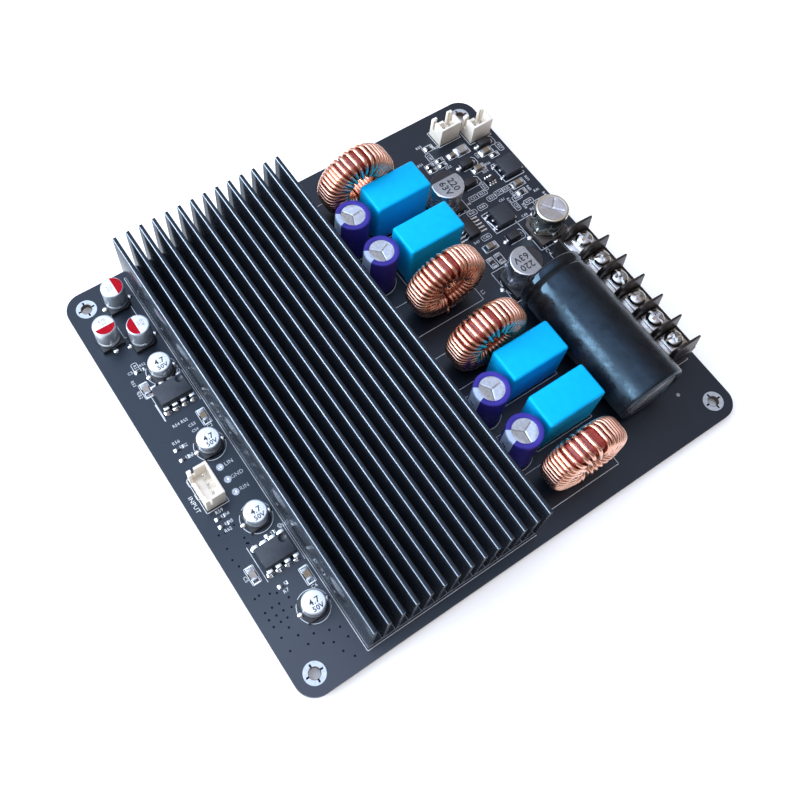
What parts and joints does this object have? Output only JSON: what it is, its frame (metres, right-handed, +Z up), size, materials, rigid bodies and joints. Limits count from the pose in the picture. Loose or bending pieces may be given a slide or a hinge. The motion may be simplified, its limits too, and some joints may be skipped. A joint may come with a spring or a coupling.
{
  "type": "audio amplifier board",
  "caption": "Black audio amplifier circuit board with a long finned heatsink, copper ring inductors, film and can capacitors, pin headers and barrier screw terminals.",
  "frame": {"origin": "centre of the rectangle of four corner mounting holes, on the underside of the board", "axes": "+Z up out of the component side; +X along the heatsink fins; +Y from the input header side to the screw terminal side"},
  "size_m": [0.1284, 0.142, 0.0277],
  "materials": {
    "board_black": "satin black solder mask over glass fibre board",
    "anodised_black": "black anodised extruded aluminium",
    "zinc_steel": "zinc plated steel",
    "chip_black": "moulded black chip compound",
    "pad_grey": "soft thermal pad",
    "core_red": "red coated powder core",
    "copper_wire": "enamelled copper wire",
    "film_blue": "moulded blue box, satin",
    "sleeve_purple": "glossy shrink sleeve",
    "can_aluminium": "bright drawn can",
    "sleeve_black": "glossy black shrink sleeve",
    "tinned_metal": "tin plated",
    "header_ivory": "ivory moulded nylon",
    "terminal_black": "black moulded plastic",
    "plated_metal": "bright nickel plate",
    "ceramic_tan": "fired ceramic chip",
    "solder": "bright solder"
  },
  "bodies": {
    "board": {"circuit_board": "board_black", "heatsink": "anodised_black", "heatsink_screws": "zinc_steel", "amplifier_chip": "chip_black", "thermal_pad": "pad_grey", "inductor_core_1": "core_red", "inductor_core_2": "core_red", "inductor_core_3": "core_red", "inductor_core_4": "core_red", "inductor_winding_1": "copper_wire", "inductor_winding_2": "copper_wire", "inductor_winding_3": "copper_wire", "inductor_winding_4": "copper_wire", "film_capacitor_1": "film_blue", "film_capacitor_2": "film_blue", "film_capacitor_3": "film_blue", "film_capacitor_4": "film_blue", "output_capacitor_1": "sleeve_purple", "output_capacitor_2": "sleeve_purple", "output_capacitor_3": "sleeve_purple", "output_capacitor_4": "sleeve_purple", "bulk_capacitor": "sleeve_black", "polymer_capacitor_1": "can_aluminium", "polymer_capacitor_2": "can_aluminium", "polymer_capacitor_3": "can_aluminium", "coupling_capacitor_1": "can_aluminium", "coupling_capacitor_2": "can_aluminium", "coupling_capacitor_3": "can_aluminium", "coupling_capacitor_4": "can_aluminium", "rail_capacitor_1": "can_aluminium", "rail_capacitor_2": "can_aluminium", "supply_capacitor": "can_aluminium", "op_amp_1": "chip_black", "op_amp_2": "chip_black", "op_amp_leads": "tinned_metal", "input_header": "header_ivory", "input_header_pins": "tinned_metal", "aux_header_1": "header_ivory", "aux_header_2": "header_ivory", "aux_header_pins": "tinned_metal", "terminal_block": "terminal_black", "terminal_contacts": "plated_metal", "chip_resistors": "chip_black", "chip_capacitors": "ceramic_tan", "diodes": "chip_black", "regulators": "chip_black", "control_chips": "chip_black", "solder_joints": "solder"},
    "clamp_1": {"terminal_clamp_1": "plated_metal"},
    "screw_1": {"terminal_screw_1": "plated_metal"},
    "clamp_2": {"terminal_clamp_2": "plated_metal"},
    "screw_2": {"terminal_screw_2": "plated_metal"},
    "clamp_3": {"terminal_clamp_3": "plated_metal"},
    "screw_3": {"terminal_screw_3": "plated_metal"},
    "clamp_4": {"terminal_clamp_4": "plated_metal"},
    "screw_4": {"terminal_screw_4": "plated_metal"},
    "clamp_5": {"terminal_clamp_5": "plated_metal"},
    "screw_5": {"terminal_screw_5": "plated_metal"},
    "clamp_6": {"terminal_clamp_6": "plated_metal"},
    "screw_6": {"terminal_screw_6": "plated_metal"}
  },
  "joints": [
    {"name": "clamp_lift_1", "type": "slide", "parent": "board", "child": "clamp_1", "axis": [0, 0, 1], "range_m": [0, 0.003]},
    {"name": "screw_turn_1", "type": "hinge", "parent": "clamp_1", "child": "screw_1", "pos_m": [0.00205, 0.0629, 0.0109], "axis": [0, 0, 1], "range_deg": [0, 2160]},
    {"name": "clamp_lift_2", "type": "slide", "parent": "board", "child": "clamp_2", "axis": [0, 0, 1], "range_m": [0, 0.003]},
    {"name": "screw_turn_2", "type": "hinge", "parent": "clamp_2", "child": "screw_2", "pos_m": [0.00967, 0.0629, 0.0109], "axis": [0, 0, 1], "range_deg": [0, 2160]},
    {"name": "clamp_lift_3", "type": "slide", "parent": "board", "child": "clamp_3", "axis": [0, 0, 1], "range_m": [0, 0.003]},
    {"name": "screw_turn_3", "type": "hinge", "parent": "clamp_3", "child": "screw_3", "pos_m": [0.01729, 0.0629, 0.0109], "axis": [0, 0, 1], "range_deg": [0, 2160]},
    {"name": "clamp_lift_4", "type": "slide", "parent": "board", "child": "clamp_4", "axis": [0, 0, 1], "range_m": [0, 0.003]},
    {"name": "screw_turn_4", "type": "hinge", "parent": "clamp_4", "child": "screw_4", "pos_m": [0.02491, 0.0629, 0.0109], "axis": [0, 0, 1], "range_deg": [0, 2160]},
    {"name": "clamp_lift_5", "type": "slide", "parent": "board", "child": "clamp_5", "axis": [0, 0, 1], "range_m": [0, 0.003]},
    {"name": "screw_turn_5", "type": "hinge", "parent": "clamp_5", "child": "screw_5", "pos_m": [0.03253, 0.0629, 0.0109], "axis": [0, 0, 1], "range_deg": [0, 2160]},
    {"name": "clamp_lift_6", "type": "slide", "parent": "board", "child": "clamp_6", "axis": [0, 0, 1], "range_m": [0, 0.003]},
    {"name": "screw_turn_6", "type": "hinge", "parent": "clamp_6", "child": "screw_6", "pos_m": [0.04015, 0.0629, 0.0109], "axis": [0, 0, 1], "range_deg": [0, 2160]}
  ],
  "couplings": [
    {"joint": "screw_turn_1", "follows": "clamp_lift_1", "rad_per_m": 12566},
    {"joint": "screw_turn_2", "follows": "clamp_lift_2", "rad_per_m": 12566},
    {"joint": "screw_turn_3", "follows": "clamp_lift_3", "rad_per_m": 12566},
    {"joint": "screw_turn_4", "follows": "clamp_lift_4", "rad_per_m": 12566},
    {"joint": "screw_turn_5", "follows": "clamp_lift_5", "rad_per_m": 12566},
    {"joint": "screw_turn_6", "follows": "clamp_lift_6", "rad_per_m": 12566}
  ]
}
